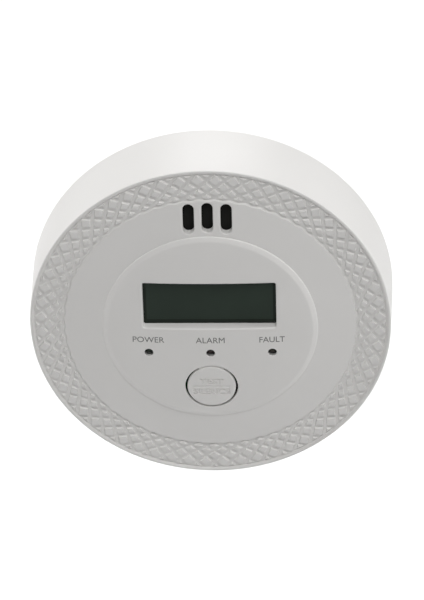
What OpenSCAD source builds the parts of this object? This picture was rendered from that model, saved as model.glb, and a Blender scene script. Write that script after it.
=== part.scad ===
// Round battery carbon monoxide alarm on a twist-off wall plate.
// Row frame: X to the right, Z up, the face looks towards -Y, and the wall is the plane Y = 0.

/* [Case] */
// Diameter of the case at its front lip
case_d = 104; // [100:1:125]
// How much wider the case is at its rear edge
case_draft = 1.0; // [0:0.1:2]
// Depth of the drum, from rear edge to lip
drum_depth = 21.7; // [20:0.1:30]
// Wall thickness of the mouldings
wall = 2.0; // [1.6:0.1:2.5]
// Diameter of the step that holds the base behind the drum
base_d = 90; // [88:1:94]
// How far the base stands behind the drum
base_depth = 7.2; // [7:0.1:12]
// Gap between neighbouring mouldings
gap = 0.3; // [0.2:0.05:0.4]

/* [Face] */
// Width of the lip round the face
lip_w = 1.15; // [0.8:0.05:2]
// Depth of the patterned band below the lip
band_depth = 0.55; // [0.3:0.05:0.9]
// Inner radius of the patterned band
band_r = 42.2; // [40:0.1:44]
// Diamonds round the band
diamond_count = 60; // [36:1:80]
// Depth of each row of diamonds as a share of the row outside it
diamond_ratio = 0.81; // [0.7:0.01:0.9]
// Width of the grooves between diamonds
groove_w = 0.8; // [0.5:0.05:1.2]
// Height of the diamonds above the floor of the band
diamond_h = 0.45; // [0.2:0.05:0.6]
// Spherical radius of the face
dome_r = 312; // [250:1:400]
// Height of the ring's dome above the lip, at the centre
ring_rise = 2.75; // [2:0.05:4]
// Height of the middle panel's dome above the lip, at the centre
panel_rise = 3.55; // [3:0.05:5]
// Radius of the middle panel at its foot
panel_r = 31.0; // [29:0.1:33]
// Width of the slope round the middle panel
panel_slope = 1.6; // [1:0.1:3]

/* [Display] */
// Width of the display window
window_w = 38.2; // [34:0.1:40]
// Height of the display window
window_h = 15.0; // [12:0.1:16]
// Height of the window's centre above the middle of the face
window_up = 8.45; // [8:0.05:10]
// How far the glass lies behind the top of the face
glass_drop = 3.15; // [2.8:0.05:4]
// Thickness of the display glass
glass_t = 2.2; // [1.6:0.1:2.8]
// Overlap of the glass behind the window on each side
glass_lap = 2.6; // [1.5:0.1:3]
// Thickness of the backlight
backlight_t = 2.4; // [1.5:0.1:3]

/* [Indicators] */
// Distance between neighbouring indicator lights
led_pitch = 17.8; // [15:0.1:20]
// Depth of the indicator row below the middle of the face
led_down = 7.6; // [6.5:0.1:8]
// Diameter of the light holes in the face
led_hole_d = 2.5; // [1.5:0.1:2.8]
// Diameter of a light
led_d = 3.0; // [2:0.1:3]
// How far a light's tip lies behind the face
led_set = 0.9; // [0.7:0.1:2]
// Thickness of the face left round a light hole
led_skin = 0.6; // [0.5:0.1:1]

/* [Test button] */
// Diameter of the opening round the button
button_hole_d = 15.3; // [14:0.1:17]
// Depth of the button's centre below the middle of the face
button_down = 19.7; // [19:0.1:21]
// Open slot round the button
button_gap = 0.6; // [0.3:0.05:0.7]
// Half angle of the moulded web that hinges the button
web_half_angle = 30; // [15:1:40]
// Gap left at the root of the web
web_gap = 0.1; // [0.08:0.01:0.2]
// Diameter of the stem that presses the switch
stem_d = 2.4; // [2:0.1:3]
// Gap between stem and switch plunger at rest
stem_gap = 0.1; // [0.05:0.01:0.15]
// Diameter of the switch plunger
plunger_d = 3.4; // [3:0.1:4]
// Height of the plunger above the switch
plunger_h = 1.4; // [1:0.1:2]
// Width of the square switch
switch_w = 6.0; // [5:0.1:7]
// Height of the switch
switch_h = 3.5; // [3:0.1:4]

/* [Sounder slots] */
// Number of slots
slot_count = 3; // [3:2:5]
// Distance between slots
slot_pitch = 5.36; // [4.5:0.01:6]
// Width of a slot
slot_w = 3.3; // [2:0.1:3.5]
// Length of a slot
slot_len = 9.4; // [6:0.1:11]
// Height of the slots' middle above the middle of the face
slot_up = 36.7; // [35:0.1:37]

/* [Batteries] */
// Diameter of a size AA cell
cell_d = 14.2; // [14.2:0.1:14.5]
// Length of a cell over its positive cap
cell_len = 50.5; // [50:0.1:50.5]
// Distance between neighbouring cells
cell_pitch = 15.2; // [15:0.1:16]
// Room for the contacts, shared by the two ends
contact_room = 6.5; // [6:0.1:7]
// Thickness of the walls round the cells
bay_wall = 1.4; // [1.2:0.1:1.8]
// Thickness of a contact plate
contact_t = 0.4; // [0.3:0.05:0.5]
// Diameter of the spring wire
spring_wire = 0.9; // [0.7:0.05:1.1]
// Turns of a contact spring
spring_turns = 3.5; // [3:0.5:5]

/* [Battery door] */
// Thickness of the door
door_t = 1.6; // [1.4:0.1:2]
// How far the door overlaps the wall of the bay
door_lap = 1.3; // [1:0.1:1.5]
// How far the door slides before it lifts off
door_travel = 5; // [4:0.5:5]
// Reach of the tongues beside the door
tongue_reach = 1.2; // [0.8:0.1:1.3]
// Length of a tongue
tongue_len = 6; // [4:0.5:7]

/* [Wall plate] */
// Diameter of the wall plate
plate_d = 88; // [86:1:90]
// Thickness of the wall plate's floor
plate_floor = 2.2; // [2:0.1:3]
// Height of the rim round the wall plate
plate_rim_h = 3.0; // [2.6:0.1:4]
// Distance between the screw slots
screw_pitch = 60; // [50:1:60]
// Width of a screw slot
screw_slot_w = 4.6; // [4:0.1:5]
// Length of a screw slot, end to end
screw_slot_len = 8; // [6:0.5:9]
// Number of bayonet hooks
hook_count = 4; // [4:1:4]
// Inner radius of the hooks
hook_r = 37; // [36.5:0.1:38]
// Thickness of a hook's stem
hook_t = 2.0; // [1.6:0.1:2.4]
// Outward reach of a hook's head
hook_reach = 2.3; // [1.8:0.1:2.5]
// Angle that a hook spans
hook_angle = 8; // [6:1:9]
// Twist that frees the alarm from the plate
twist = 15; // [12:1:16]

/* [Circuit board] */
// Diameter of the circuit board
board_d = 92; // [86:1:94]
// Thickness of the circuit board
board_t = 1.6; // [1:0.1:1.6]
// Room for solder joints behind the board
solder_room = 1.6; // [1.5:0.1:3]

/* [Screws] */
// Pitch circle of the screws that close the case
case_screw_pcd = 81; // [80:0.5:83]
// Shank diameter of the case screws
case_screw_d = 2.6; // [2.2:0.1:3]
// Shank diameter of the board screws
board_screw_d = 2.2; // [2:0.1:2.5]
// Head diameter of the case screws
case_head_d = 4.8; // [4:0.1:5]
// Head diameter of the board screws
board_head_d = 4.4; // [4:0.1:4.6]

/* [Hidden] */
$fn = 96;
e = 0.01;
fit = 0.05;

// Levels, measured outwards from the wall
back_z = plate_rim_h + 0.4;
drum_z = back_z + base_depth;
lip_z = drum_z + drum_depth;
floor_z = lip_z - band_depth;
panel_top = lip_z + panel_rise;
ring_top = lip_z + ring_rise;
slope_h = panel_slope * 0.6;

// Case radii
lip_r = case_d / 2;
drum_r = lip_r + case_draft / 2;
case_in_r = lip_r - wall;
base_r = base_d / 2;

// Groove crossings of the band: level -1 lies under the lip and level 4 under the ring
crossing_out_r = lip_r - lip_w / 2;
crossing_in_r = band_r - 0.3;
crossing_span = (crossing_out_r - crossing_in_r) / (1 / diamond_ratio - pow(diamond_ratio, 4));
crossing_limit_r = crossing_out_r - crossing_span / diamond_ratio;

// Rear cover
flange_z = drum_z + 0.4;
joint_z = flange_z + wall;
plate_in_z = back_z + wall;

// Battery door and bay
pocket_z = back_z + 0.2 + door_t + 0.1;
bay_w = cell_len + contact_room;
bay_h = 2 * cell_pitch + cell_d + 0.8;
pad_top = pocket_z + bay_wall;
door_w = bay_w + 2 * door_lap;
door_h = bay_h + 2 * door_lap;
cell_z = pocket_z + 0.4 + cell_d / 2;
bay_top_in = cell_z + cell_d / 2 + 0.4;
bay_top = bay_top_in + bay_wall;
tongue_y = door_h / 4 + 3;
tongue_z = back_z + 0.9;
tongue_t = 0.8;
pad_margin = 2.8;
leg_w = 2;

// Circuit board
board_z = bay_top + solder_room;
board_face = board_z + board_t;
board_post_x = 24;
board_post_y = 31;

// Display
glass_top = panel_top - glass_drop;
glass_w = window_w + 2 * glass_lap;
glass_h = window_h + 2 * glass_lap + 0.8;
glass_back = glass_top - glass_t;
holder_wall = 1.2;
holder_lip = 0.8;
holder_w = glass_w + 2 * holder_wall + 4 * fit;
holder_h = glass_h + 2 * holder_wall + 4 * fit;
// The holder's corners reach furthest out under the ring, so they limit its height
holder_corner_r = sqrt(pow(holder_w / 2, 2) + pow(window_up + holder_h / 2, 2));
holder_top = min(glass_back + holder_lip, ring_top - wall - dip(holder_corner_r) - 0.2);
pin_count = 16;
pin_pitch = 2.2;
pin_down = glass_h / 2 - 0.6;
pin_w = 0.5;
pin_t = 0.3;

// Button and switch
button_r = button_hole_d / 2 - button_gap;
web_r = button_hole_d / 2 - web_gap;
panel_under = panel_top - wall - 0.2;
button_back = panel_under - dip(button_down);
plunger_top = board_face + switch_h + plunger_h;

// Bayonet
hook_head_z = plate_in_z + gap;
hook_head_t = 1.5;
hook_play = 0.8;
slot_clear = 0.4;

// Case screws
case_screw_at = [for (a = [30, 150, 210, 330]) [case_screw_pcd / 2 * cos(a), case_screw_pcd / 2 * sin(a)]];
board_screw_at = [for (x = [-1, 1], y = [-1, 1]) [x * board_post_x, y * board_post_y]];
seat_z = joint_z - 2.6;
post_r = 3.0;
boss_wall = 1.4;

// Indicator lights
led_body_h = 1.8;
led_flange_h = 0.8;

// Sounder and sensor
sounder_d = 20;
sounder_y = 31.5;
sounder_wall = 1;
sounder_floor = 0.8;
felt_t = 0.5;
sounder_top = floor_z - wall - felt_t - 0.2;
sensor_d = 14;
sensor_h = 4.4;
sensor_leg = 4;
sensor_leg_d = 0.8;
sensor_gap = 0.3;
membrane_d = 7;
sensor_at = polar(band_r - wall - sensor_d / 2 - sensor_gap, -73.2);

// How far a dome has dropped at radius r
function dip(r) = dome_r - sqrt(dome_r * dome_r - r * r);

// Radius of the k-th ring of groove crossings, counted inwards
function crossing_r(k) = crossing_limit_r + crossing_span * pow(diamond_ratio, k);

// Share of a diamond that is left when its sides move in by half a groove
function inset(a, b) = 1 - groove_w / 2 * sqrt(a * a + b * b) / (a * b);

function polar(r, a) = [r * cos(a), r * sin(a)];

// Height of the face over the light at x, and the top of that light
function led_face(x) = panel_top - dip(sqrt(x * x + led_down * led_down));
function led_top(x) = led_face(x) - led_set;

// Turns a piece drawn flat on the wall, facing up, so that it faces -Y
module on_wall() {
    rotate([90, 0, 0]) children();
}

// Outline of a rectangle with round corners
module round_rect(w, h, r) {
    square([w - 2 * r, h], center = true);
    square([w, h - 2 * r], center = true);
    for (x = [-1, 1], y = [-1, 1]) translate([x * (w / 2 - r), y * (h / 2 - r)]) circle(r = r);
}

// Outline of a slot with round ends, l long over its ends, along x
module slot_outline(l, w) {
    square([l - w, w], center = true);
    for (x = [-1, 1]) translate([x * (l - w) / 2, 0]) circle(d = w);
}

// Part of a ring between two radii, from angle a0 over a span
module ring_part(r0, r1, a0, span, z0, z1) {
    rotate([0, 0, a0]) rotate_extrude(angle = span) translate([r0, z0]) square([r1 - r0, z1 - z0]);
}

// The ball that the face is a cap of, with its highest point at top
module face_ball(top) {
    translate([0, 0, top - dome_r]) sphere(r = dome_r, $fn = 400);
}

// A disc whose top is domed, with its highest point at top
module domed_disc(r, z0, top) {
    intersection() {
        translate([0, 0, z0]) cylinder(r = r, h = top - z0 + 1);
        face_ball(top);
    }
}

// One diamond between four groove crossings, level k at its sides, turned to angle a
module diamond(k, a) {
    half_w = crossing_r(k) * PI / diamond_count;
    out_h = crossing_r(k - 1) - crossing_r(k);
    in_h = crossing_r(k) - crossing_r(k + 1);
    side = (inset(half_w, out_h) + inset(half_w, in_h)) / 2 * 180 / diamond_count;
    out_r = crossing_r(k) + out_h * inset(half_w, out_h);
    in_r = crossing_r(k) - in_h * inset(half_w, in_h);
    side_r = crossing_r(k);
    polygon([polar(side_r, a - side), polar(out_r, a), polar(side_r, a + side), polar(in_r, a)]);
}

// The rows of raised diamonds, cut off round by the lip
module diamond_band() {
    step = 360 / diamond_count;
    intersection() {
        circle(r = lip_r - lip_w - 0.35);
        for (i = [0:diamond_count - 1], k = [-1:4]) diamond(k, 90 + (i + (k % 2 == 0 ? 0.5 : 0)) * step);
    }
}

// Outside of the front cover, before it is hollowed
module cover_outside() {
    difference() {
        translate([0, 0, drum_z]) cylinder(r1 = drum_r, r2 = lip_r, h = drum_depth);
        difference() {
            translate([0, 0, floor_z]) cylinder(r = lip_r - lip_w, h = band_depth + 1);
            translate([0, 0, floor_z - 1]) cylinder(r = band_r, h = band_depth + 3);
        }
    }
    domed_disc(band_r, floor_z - 1, ring_top);
    intersection() {
        slope_z = ring_top - dip(panel_r);
        translate([0, 0, slope_z - slope_h])
            cylinder(r1 = panel_r + panel_slope, r2 = panel_r - 3 * panel_slope, h = 4 * slope_h);
        domed_disc(panel_r + panel_slope, floor_z, panel_top);
    }
    translate([0, 0, floor_z - 0.2]) linear_extrude(height = diamond_h + 0.2) diamond_band();
}

// Hollow of the front cover
module cover_hollow() {
    translate([0, 0, drum_z - 1]) cylinder(r = case_in_r, h = floor_z - wall - drum_z + 1);
    domed_disc(band_r - wall, floor_z - wall - 1, ring_top - wall);
    domed_disc(panel_r - panel_slope - 0.8, floor_z - wall - 1, panel_under);
}

// The sounder slots as solids, from z upwards
module slots(z, h) {
    for (i = [0:slot_count - 1]) {
        x = (i - (slot_count - 1) / 2) * slot_pitch;
        y = sqrt(slot_up * slot_up - x * x);
        translate([x, y, z]) linear_extrude(height = h) rotate(90) slot_outline(slot_len, slot_w);
    }
}

module front_cover() {
    color("whitesmoke") on_wall() {
        difference() {
            union() {
                difference() {
                    cover_outside();
                    cover_hollow();
                }
                // Frame inside the display window, which the glass bears on
                translate([0, window_up, glass_top + fit])
                    linear_extrude(height = panel_under - glass_top + 0.5)
                        square([window_w + 4, window_h + 4], center = true);
                for (p = case_screw_at) translate([p[0], p[1], joint_z])
                    cylinder(r = post_r, h = floor_z - wall - joint_z + 0.5);
            }
            translate([0, window_up, glass_back - 1]) linear_extrude(height = panel_rise + 10)
                round_rect(window_w, window_h, 0.6);
            translate([0, window_up, glass_back - 1]) linear_extrude(height = glass_t + 1 + fit)
                square([glass_w + 0.6, glass_h + 0.6], center = true);
            for (x = [-led_pitch, 0, led_pitch]) translate([x, -led_down, board_face]) {
                cylinder(d = led_hole_d, h = 20);
                cylinder(d = led_d + 2 * gap, h = led_face(x) - led_skin - board_face);
            }
            translate([0, -button_down, board_face]) cylinder(d = button_hole_d, h = 20);
            slots(board_face, 20);
            for (p = case_screw_at) translate([p[0], p[1], joint_z - 1])
                cylinder(d = case_screw_d + 2 * fit, h = 13);
        }
    }
}

module test_button() {
    color("whitesmoke") on_wall() {
        intersection() {
            translate([0, -button_down, button_back]) union() {
                cylinder(r = button_r, h = 6);
                ring_part(button_r - 1, web_r, 90 - web_half_angle, 2 * web_half_angle, 0, 1.6);
            }
            face_ball(panel_top);
        }
        translate([0, -button_down, plunger_top + stem_gap])
            cylinder(d = stem_d, h = button_back - plunger_top - stem_gap + 0.5);
    }
}

// The door's slot in the rear cover, from its closed place to its free one
module door_pocket() {
    pocket_h = door_h + door_travel + 2 * gap;
    groove_reach = 2 * (tongue_reach + gap);
    groove_len = tongue_len + 2 * gap;
    translate([0, (door_h / 2 + gap) - pocket_h / 2, back_z - 1])
        linear_extrude(height = pocket_z - back_z + 1) round_rect(door_w + 2 * gap, pocket_h, 1.5);
    for (x = [-1, 1], y = [-tongue_y, tongue_y]) {
        // Groove that a tongue slides in
        translate([x * (door_w / 2), y - door_travel / 2, (tongue_z + pocket_z) / 2])
            cube([groove_reach, groove_len + door_travel, pocket_z - tongue_z + 0.2], center = true);
        // Notch that it drops through
        translate([x * (door_w / 2), y - door_travel, back_z])
            cube([groove_reach, groove_len, 2 * (pocket_z - back_z)], center = true);
    }
}

module rear_cover() {
    color("white") on_wall() difference() {
        union() {
            // Base behind the drum
            translate([0, 0, back_z]) difference() {
                cylinder(r = base_r, h = joint_z - back_z);
                translate([0, 0, wall]) cylinder(r = base_r - wall, h = joint_z);
            }
            // Flange that closes the drum
            translate([0, 0, flange_z]) difference() {
                cylinder(r = case_in_r - gap, h = wall);
                translate([0, 0, -1]) cylinder(r = base_r - wall, h = wall + 2);
            }
            // Walls of the battery bay
            translate([0, 0, back_z]) linear_extrude(height = bay_top - back_z)
                square([bay_w + 2 * bay_wall, bay_h + 2 * bay_wall], center = true);
            // Thicker back round the door
            intersection() {
                translate([0, 0, back_z]) cylinder(r = base_r - e, h = pad_top - back_z);
                translate([0, -door_travel / 2, back_z + 2])
                    cube([door_w + 2 * pad_margin, door_h + door_travel + 4, 20], center = true);
            }
            for (p = case_screw_at) translate([p[0], p[1], back_z])
                cylinder(r = case_head_d / 2 + boss_wall, h = joint_z - back_z);
            for (p = board_screw_at) translate([p[0], p[1], back_z])
                cylinder(r = board_screw_d / 2 + boss_wall + 0.1, h = board_z - back_z);
        }
        // Inside of the bay, open towards the wall
        translate([0, 0, back_z - 1]) linear_extrude(height = bay_top_in - back_z + 1)
            square([bay_w, bay_h], center = true);
        door_pocket();
        for (p = case_screw_at) {
            translate([p[0], p[1], back_z - 1]) cylinder(d = case_head_d + 0.4, h = seat_z - back_z + 1);
            translate([p[0], p[1], back_z]) cylinder(d = case_screw_d + 0.6, h = 20);
        }
        for (p = board_screw_at) translate([p[0], p[1], board_z - 7])
            cylinder(d = board_screw_d + 2 * fit, h = 10);
        // Bayonet slots: narrow where the hooks hold, wide where they come free
        for (i = [0:hook_count - 1]) {
            a = i * 360 / hook_count - hook_angle / 2 - twist - hook_play;
            wide = hook_angle + 2 * hook_play;
            out_r = hook_r + hook_t + slot_clear;
            ring_part(hook_r - slot_clear, out_r, a, wide + twist, back_z - 1, plate_in_z + e);
            ring_part(hook_r - slot_clear, out_r + hook_reach, a, wide, back_z - 1, plate_in_z + e);
        }
        // Openings for the two battery terminals' legs
        for (s = [-1, 1]) translate([s * (bay_w / 2 - contact_t / 2), s * cell_pitch, bay_top])
            cube([contact_t + 0.3, leg_w + 2 * gap, 3 * bay_wall], center = true);
    }
}

module battery_door() {
    z = back_z + 0.2;
    color("white") on_wall() difference() {
        union() {
            translate([0, 0, z]) linear_extrude(height = door_t) round_rect(door_w, door_h, 1.2);
            for (x = [-1, 1], y = [-tongue_y, tongue_y])
                translate([x * door_w / 2, y, tongue_z + tongue_t / 2 + 0.1])
                    cube([2 * tongue_reach, tongue_len, tongue_t], center = true);
        }
        // Finger grooves
        for (i = [0:4]) translate([0, -door_h / 2 + 6 + 2 * i, z]) cube([18 - 2 * i, 1, 1], center = true);
    }
}

module mounting_plate() {
    color("white") on_wall() {
        difference() {
            union() {
                cylinder(d = plate_d, h = plate_floor);
                difference() {
                    cylinder(d = plate_d, h = plate_rim_h);
                    translate([0, 0, -1]) cylinder(d = plate_d - 2 * wall, h = plate_rim_h + 2);
                }
            }
            for (x = [-1, 1]) translate([x * screw_pitch / 2, 0, -1]) {
                linear_extrude(height = plate_floor + 2) slot_outline(screw_slot_len, screw_slot_w);
                translate([0, 0, plate_floor]) linear_extrude(height = 5)
                    slot_outline(screw_slot_len + 4, screw_slot_w + 4);
            }
        }
        for (i = [0:hook_count - 1]) {
            a = i * 360 / hook_count - hook_angle / 2;
            head_top = hook_head_z + hook_head_t;
            ring_part(hook_r, hook_r + hook_t, a, hook_angle, plate_floor - 0.5, head_top);
            ring_part(hook_r, hook_r + hook_t + hook_reach, a, hook_angle, hook_head_z, head_top);
        }
    }
}

// A cell lying along X in place i, with its positive cap towards +X where dir is 1
module cell(i, dir) {
    cap = 1.3;
    tip = bay_w / 2 - contact_t;
    on_wall() translate([0, i * cell_pitch, cell_z]) rotate([0, 90 * dir, 0]) {
        translate([0, 0, tip - cell_len]) cylinder(d = cell_d, h = cell_len - cap);
        translate([0, 0, tip - cap - 0.5]) cylinder(d = 5.5, h = cap + 0.5);
    }
}

module battery_1() {
    color("darkslategray") cell(1, 1);
}

module battery_2() {
    color("darkslategray") cell(0, -1);
}

module battery_3() {
    color("darkslategray") cell(-1, 1);
}

// A helical wire from z = 0 upwards, as one swept tube
module wire_coil(r, wire, turns, h) {
    sides = 6;
    steps = round(turns * 12);
    points = [for (i = [0:steps], j = [0:sides - 1])
        let (a = 360 * turns * i / steps, b = 360 * j / sides, q = r + wire / 2 * cos(b))
        [q * cos(a), q * sin(a), wire / 2 + (h - wire) * i / steps + wire / 2 * sin(b)]];
    skin = [for (i = [0:steps - 1], j = [0:sides - 1])
        let (n = (j + 1) % sides)
        [i * sides + j, (i + 1) * sides + j, (i + 1) * sides + n, i * sides + n]];
    first = [for (j = [0:sides - 1]) j];
    last = [for (j = [sides - 1:-1:0]) steps * sides + j];
    polyhedron(points, concat([first], skin, [last]));
}

module battery_springs() {
    room = bay_w - cell_len - 2 * contact_t;
    color("silver") on_wall() for (i = [-1:1]) {
        dir = i == 0 ? -1 : 1;
        translate([-dir * (bay_w / 2 - contact_t - fit), i * cell_pitch, cell_z]) rotate([0, 90 * dir, 0])
            wire_coil(3.2, spring_wire, spring_turns, room - 2 * fit);
    }
}

// Contact plate at one end of the bay, covering the cells from place i to place j
module contact(side, i, j) {
    translate([side * (bay_w / 2 - contact_t / 2), (i + j) / 2 * cell_pitch, cell_z])
        cube([contact_t, 12 + (j - i) * cell_pitch, 10], center = true);
}

module contact_plates() {
    leg_top = board_face + 0.6;
    color("silver") on_wall() {
        contact(1, 1, 1);
        contact(1, -1, 0);
        contact(-1, 0, 1);
        contact(-1, -1, -1);
        for (s = [-1, 1])
            translate([s * (bay_w / 2 - contact_t / 2), s * cell_pitch, (cell_z + leg_top) / 2])
                cube([contact_t, leg_w, leg_top - cell_z], center = true);
    }
}

module main_board() {
    color("darkgreen") on_wall() translate([0, 0, board_z]) difference() {
        cylinder(d = board_d, h = board_t);
        for (p = case_screw_at) translate([p[0], p[1], -1]) cylinder(r = post_r + 0.5, h = board_t + 2);
        for (p = board_screw_at) translate([p[0], p[1], -1])
            cylinder(d = board_screw_d + 2 * gap, h = board_t + 2);
        for (s = [-1, 1]) translate([s * (bay_w / 2 - contact_t / 2), s * cell_pitch, 0])
            cube([contact_t + 0.4, leg_w + 2 * gap, 3 * board_t], center = true);
        translate([0, 0, -board_z]) pin_row(pin_w + 0.2, pin_t + 0.2, board_z - 1, board_face + 1);
        for (x = [-sensor_leg, sensor_leg]) translate([sensor_at[0] + x, sensor_at[1], -1])
            cylinder(d = sensor_leg_d + 0.2, h = board_t + 2);
    }
}

module lcd_glass() {
    color("darkslategray") on_wall() translate([0, window_up, glass_back])
        linear_extrude(height = glass_t) square([glass_w, glass_h], center = true);
}

module lcd_holder() {
    color("dimgray") on_wall() translate([0, window_up, board_face]) difference() {
        linear_extrude(height = holder_top - board_face) square([holder_w, holder_h], center = true);
        translate([0, 0, glass_back - board_face]) linear_extrude(height = 5)
            square([glass_w + 4 * fit, glass_h + 4 * fit], center = true);
        translate([0, 0, glass_back - board_face - backlight_t - 0.2]) linear_extrude(height = 9)
            square([glass_w - 2, glass_h - 2.6], center = true);
        translate([0, 0, -1]) linear_extrude(height = 9) square([glass_w - 6, glass_h - 6], center = true);
        // Row of passages for the pins
        translate([0, -pin_down, 0]) cube([window_w + 2, 0.9, 30], center = true);
    }
}

module lcd_backlight() {
    color("ivory") on_wall() translate([0, window_up, glass_back - backlight_t - 0.1])
        linear_extrude(height = backlight_t) square([glass_w - 2.4, glass_h - 3], center = true);
}

// Row of square pins from z0 to z1 below the glass, w wide and t thick
module pin_row(w, t, z0, z1) {
    for (i = [0:pin_count - 1])
        translate([(i - (pin_count - 1) / 2) * pin_pitch, window_up - pin_down, (z0 + z1) / 2])
            cube([w, t, z1 - z0], center = true);
}

module lcd_pins() {
    color("silver") on_wall() pin_row(pin_w, pin_t, board_z - 0.6, glass_back);
}

// An indicator light standing on its spacer, with a domed tip and a flange at its foot
module led(x) {
    dome_z = led_top(x) - led_d / 2;
    on_wall() translate([x, -led_down, dome_z]) {
        sphere(d = led_d);
        translate([0, 0, -led_body_h]) cylinder(d = led_d, h = led_body_h);
        translate([0, 0, -led_body_h - led_flange_h]) cylinder(d = led_d + 0.5, h = led_flange_h);
    }
}

module led_power() {
    color("green") led(-led_pitch);
}

module led_alarm() {
    color("red") led(0);
}

module led_fault() {
    color("gold") led(led_pitch);
}

module led_spacers() {
    color("white") on_wall() for (x = [-led_pitch, 0, led_pitch]) {
        top = led_top(x) - led_d / 2 - led_body_h - led_flange_h;
        translate([x, -led_down, board_face]) difference() {
            cylinder(d = led_d + 1, h = top - board_face);
            translate([0, 0, -1]) cylinder(d = 1.8, h = 20);
        }
    }
}

module switch_body() {
    color("black") on_wall() translate([0, -button_down, board_face]) difference() {
        translate([0, 0, switch_h / 2]) cube([switch_w, switch_w, switch_h], center = true);
        translate([0, 0, switch_h - 1.2]) cylinder(d = plunger_d + 2 * fit, h = 3);
    }
}

module switch_plunger() {
    color("brown") on_wall() translate([0, -button_down, plunger_top - plunger_h - 0.7])
        cylinder(d = plunger_d, h = plunger_h + 0.7);
}

module sounder_case() {
    color("dimgray") on_wall() translate([0, sounder_y, board_face]) difference() {
        cylinder(d = sounder_d, h = sounder_top - board_face);
        translate([0, 0, sounder_floor])
            cylinder(d = sounder_d - 2 * sounder_wall, h = sounder_top - board_face - 2 * sounder_floor);
        cylinder(d = 4, h = 20);
    }
}

module sounder_disc() {
    color("goldenrod") on_wall() translate([0, sounder_y, board_face + sounder_floor])
        cylinder(d = sounder_d - 2 * sounder_wall - 2 * fit, h = 0.4);
}

module dust_felt() {
    color("black") on_wall() translate([0, slot_up + 0.2, floor_z - wall - felt_t - 0.1])
        linear_extrude(height = felt_t) square([slot_pitch * slot_count + 4, slot_len + 3], center = true);
}

module co_sensor() {
    color("silver") on_wall() translate([sensor_at[0], sensor_at[1], board_face]) difference() {
        union() {
            translate([0, 0, 0.3]) cylinder(d = sensor_d, h = sensor_h);
            for (x = [-sensor_leg, sensor_leg]) translate([x, 0, -board_t - 0.6])
                cylinder(d = sensor_leg_d, h = 3);
        }
        translate([0, 0, sensor_h - 0.3]) cylinder(d = membrane_d, h = 2);
    }
}

module sensor_membrane() {
    color("white") on_wall() translate([sensor_at[0], sensor_at[1], board_face + sensor_h - 0.3])
        cylinder(d = membrane_d - 2 * fit, h = 0.4);
}

module microcontroller() {
    color("black") on_wall() translate([led_pitch + 7.7, -led_down - 1.5, board_face]) {
        chip_w = 7;
        translate([0, 0, 0.8]) cube([chip_w, chip_w, 1.4], center = true);
        for (t = [0:3], i = [-3:3]) rotate([0, 0, 90 * t]) translate([chip_w / 2 + 0.4, i * 0.9, 0.35])
            cube([1.6, 0.4, 0.7], center = true);
    }
}

module capacitor() {
    color("lightsteelblue") on_wall() translate([-20, -20, board_face]) {
        translate([0, 0, 0.3]) cube([6.6, 6.6, 0.6], center = true);
        cylinder(d = 6.3, h = 5.2);
    }
}

module booster_coil() {
    color("dimgray") on_wall() translate([-led_pitch - 9.2, -led_down - 1.5, board_face]) difference() {
        cylinder(d = 7.8, h = 4);
        translate([0, 0, 0.8]) difference() {
            cylinder(d = 9, h = 2.4);
            cylinder(d = 6.2, h = 2.4);
        }
    }
}

module chip_parts() {
    beside_glass = glass_w / 2 + 2 * holder_wall + 2.1;
    resistor = [2, 1.25, 0.6];
    driver = [1.6, 2.9, 0.9];
    color("black") on_wall() translate([0, 0, board_face]) {
        for (i = [0:3]) translate([17 + 3.4 * i, -17.5, resistor[2] / 2]) cube(resistor, center = true);
        for (i = [0:4], side = [-1, 1])
            translate([side * beside_glass, 2.2 - 0.7 * side + 2.6 * i, resistor[2] / 2])
                cube(resistor, center = true);
        for (i = [0:3]) translate([-12 + 3 * i, -33 - i, driver[2] / 2]) cube(driver, center = true);
    }
}

// A pan-head screw pointing out from its seat, with a cross recess
module screw(d, head, l) {
    head_h = head * 0.38;
    difference() {
        union() {
            translate([0, 0, -head_h]) cylinder(d = head, h = head_h);
            cylinder(d = d, h = l);
        }
        for (a = [0, 90]) rotate([0, 0, a]) translate([0, 0, -head_h])
            cube([head * 0.6, head * 0.16, head_h], center = true);
    }
}

module case_screws() {
    color("silver") on_wall() for (p = case_screw_at) translate([p[0], p[1], seat_z])
        screw(case_screw_d, case_head_d, joint_z - seat_z + 10);
}

module board_screws() {
    color("silver") on_wall() for (p = board_screw_at)
        translate([p[0], p[1], board_face]) rotate([180, 0, 0])
            screw(board_screw_d, board_head_d, 7);
}

mounting_plate();
rear_cover();
front_cover();
battery_door();
test_button();
battery_1();
battery_2();
battery_3();
battery_springs();
contact_plates();
main_board();
lcd_glass();
lcd_holder();
lcd_backlight();
lcd_pins();
led_power();
led_alarm();
led_fault();
led_spacers();
switch_body();
switch_plunger();
sounder_case();
sounder_disc();
dust_felt();
co_sensor();
sensor_membrane();
microcontroller();
capacitor();
booster_coil();
chip_parts();
case_screws();
board_screws();
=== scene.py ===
import math

import bmesh
import bpy
from mathutils import Matrix, Vector
from mathutils.geometry import delaunay_2d_cdt


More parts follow.
